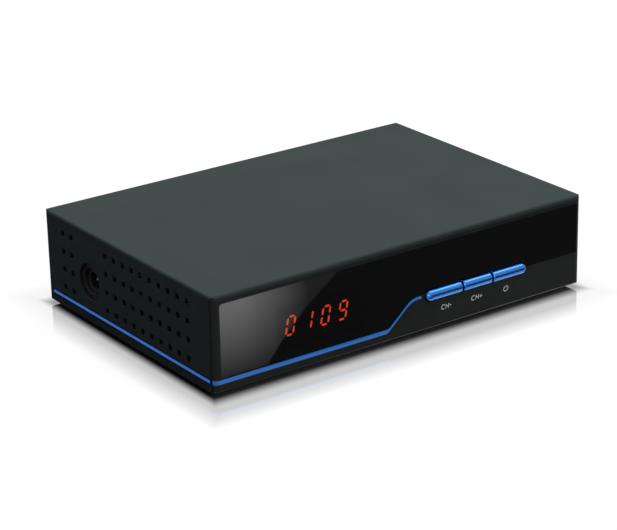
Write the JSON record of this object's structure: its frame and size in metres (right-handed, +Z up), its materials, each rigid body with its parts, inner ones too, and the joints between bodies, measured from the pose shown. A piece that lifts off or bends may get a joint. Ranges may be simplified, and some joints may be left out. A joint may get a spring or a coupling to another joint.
{
  "type": "terrestrial tv receiver",
  "caption": "Low set-top box: vented steel case, gloss window over a digit display, accent line running into sprung front keys, aerial, video, audio and power sockets.",
  "frame": {"origin": "middle of the surface that the feet stand on, at the middle of the part's outline from above, keys and sockets included", "axes": "+X to the right as seen from the front, +Y from the front panel to the rear sockets, +Z up"},
  "size_m": [0.168, 0.126, 0.038],
  "materials": {
    "case_paint": "matte powder coat",
    "panel_plastic": "fine moulded texture",
    "window": "polished, smoked",
    "accent": "satin metallic lacquer",
    "key_lacquer": "metallic lacquer",
    "segment_lit": "glowing diffuser",
    "segment_dark": "unlit diffuser",
    "part_black": "moulded",
    "part_white": "moulded",
    "lead_grey": "ribbed ribbon",
    "board": "solder mask",
    "nickel": "nickel plate",
    "tin": "tin plate",
    "sink": "extruded, plain",
    "audio_orange": "moulded",
    "foot_rubber": "matte"
  },
  "bodies": {
    "case": {"top_cover": "case_paint", "base_tray": "case_paint", "front_bezel": "panel_plastic", "front_window": "window", "front_trim": "accent", "side_trim": "accent", "lit_segments": "segment_lit", "dark_segments": "segment_dark", "display_module": "part_black", "key_switches": "part_black", "ir_receiver": "part_black", "processor": "part_black", "memory_chips": "part_black", "inductors": "part_black", "dc_jack": "part_black", "hdmi_tongue": "part_black", "scart_housing": "part_black", "panel_header": "part_white", "main_header": "part_white", "thermal_pad": "part_white", "antenna_core": "part_white", "usb_tongue": "part_white", "panel_lead": "lead_grey", "front_board": "board", "main_board": "board", "cover_screws": "nickel", "front_board_screws": "nickel", "board_standoffs": "nickel", "board_screws": "nickel", "crystal": "nickel", "dc_pin": "nickel", "antenna_socket": "nickel", "loop_plug": "nickel", "loop_core": "nickel", "hdmi_shell": "nickel", "usb_shell": "nickel", "scart_contacts": "nickel", "spdif_ring": "nickel", "tuner_can": "tin", "tuner_lid": "tin", "heatsink": "sink", "capacitors": "sink", "spdif_body": "audio_orange", "rubber_feet": "foot_rubber"},
    "channel_down": {"key_channel_down": "key_lacquer", "plunger_channel_down": "part_white"},
    "channel_up": {"key_channel_up": "key_lacquer", "plunger_channel_up": "part_white"},
    "power": {"key_power": "key_lacquer", "plunger_power": "part_white"}
  },
  "joints": [
    {"name": "channel_down_press", "type": "slide", "parent": "case", "child": "channel_down", "axis": [0, 1, 0], "range_m": [0, 0.0004], "stiffness_N_per_m": 2500},
    {"name": "channel_up_press", "type": "slide", "parent": "case", "child": "channel_up", "axis": [0, 1, 0], "range_m": [0, 0.0004], "stiffness_N_per_m": 2500},
    {"name": "power_press", "type": "slide", "parent": "case", "child": "power", "axis": [0, 1, 0], "range_m": [0, 0.0004], "stiffness_N_per_m": 2500}
  ]
}
